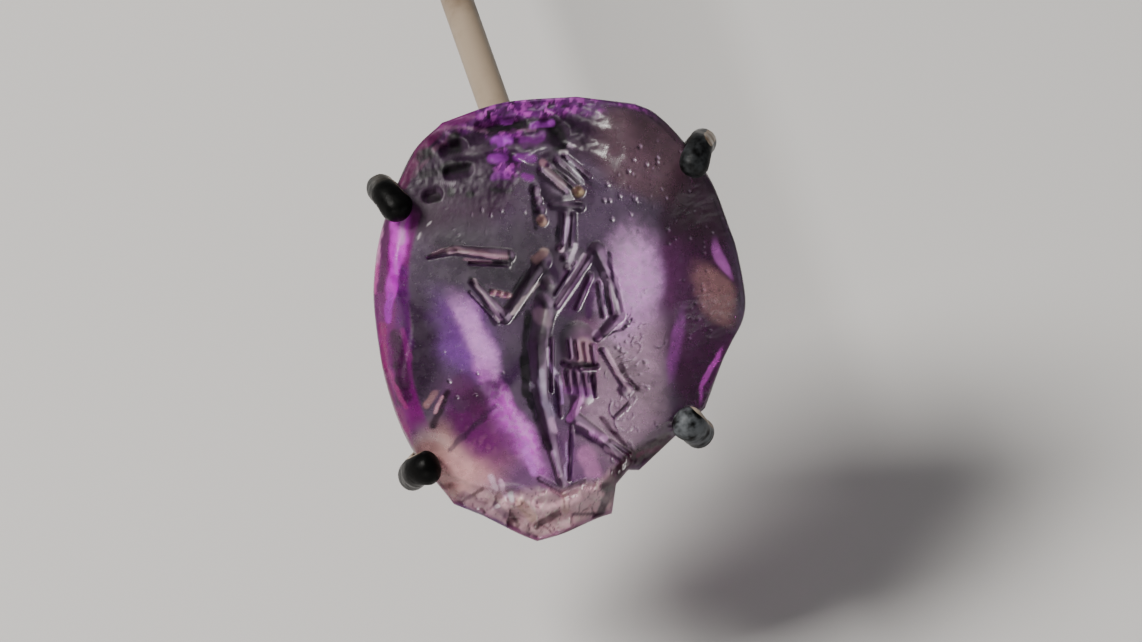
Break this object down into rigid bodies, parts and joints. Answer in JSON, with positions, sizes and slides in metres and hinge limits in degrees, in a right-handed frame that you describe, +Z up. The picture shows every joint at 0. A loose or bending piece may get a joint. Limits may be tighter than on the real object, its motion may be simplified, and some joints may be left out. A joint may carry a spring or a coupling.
{
  "type": "intaglio gem",
  "caption": "Chipped oval amethyst intaglio engraved with a standing figure, held by wire claws on a bent rod with a round weighted foot.",
  "frame": {"origin": "centre of the foot's underside", "axes": "+Z up, +X to the viewer's right; the gem's engraved face looks towards -Y and 45 degrees up"},
  "size_m": [0.0359, 0.0816, 0.026],
  "materials": {
    "amethyst": "worn polish, broken at the top and foot",
    "blackened_metal": "worn black",
    "cream_painted_rod": "satin paint",
    "cream_painted_foot": "satin paint"
  },
  "bodies": {
    "root": {"gem": "amethyst", "claw_cradle": "blackened_metal", "stand_rod": "cream_painted_rod", "stand_foot": "cream_painted_foot"}
  },
  "joints": []
}
